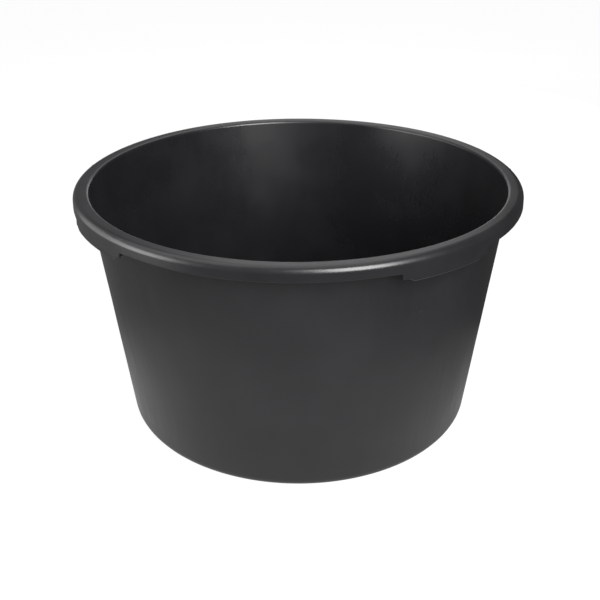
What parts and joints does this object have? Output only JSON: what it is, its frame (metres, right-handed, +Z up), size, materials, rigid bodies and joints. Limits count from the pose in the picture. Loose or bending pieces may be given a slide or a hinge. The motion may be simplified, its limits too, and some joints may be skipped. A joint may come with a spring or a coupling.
{
  "type": "mortar mixing tub",
  "caption": "Round tapered black plastic tub with a turned-over rim and moulded hand grips under it, for mixing and carrying mortar.",
  "frame": {"origin": "centre of the tub's foot, on the surface that it stands on", "axes": "+Z up along the tub's axis; the hand grips lie on +X, +Y, -X and -Y"},
  "size_m": [0.5906, 0.5906, 0.329],
  "materials": {
    "polyethylene": "satin"
  },
  "bodies": {
    "root": {"base": "polyethylene", "side_wall": "polyethylene", "rim": "polyethylene", "grip_apron_right": "polyethylene", "grip_apron_back": "polyethylene", "grip_apron_left": "polyethylene", "grip_apron_front": "polyethylene", "grip_bead_right": "polyethylene", "grip_bead_back": "polyethylene", "grip_bead_left": "polyethylene", "grip_bead_front": "polyethylene", "grip_web_right_1": "polyethylene", "grip_web_right_2": "polyethylene", "grip_web_back_1": "polyethylene", "grip_web_back_2": "polyethylene", "grip_web_left_1": "polyethylene", "grip_web_left_2": "polyethylene", "grip_web_front_1": "polyethylene", "grip_web_front_2": "polyethylene", "rim_rib_01": "polyethylene", "rim_rib_02": "polyethylene", "rim_rib_03": "polyethylene", "rim_rib_04": "polyethylene", "rim_rib_05": "polyethylene", "rim_rib_06": "polyethylene", "rim_rib_07": "polyethylene", "rim_rib_08": "polyethylene", "rim_rib_09": "polyethylene", "rim_rib_10": "polyethylene", "rim_rib_11": "polyethylene", "rim_rib_12": "polyethylene"}
  },
  "joints": []
}
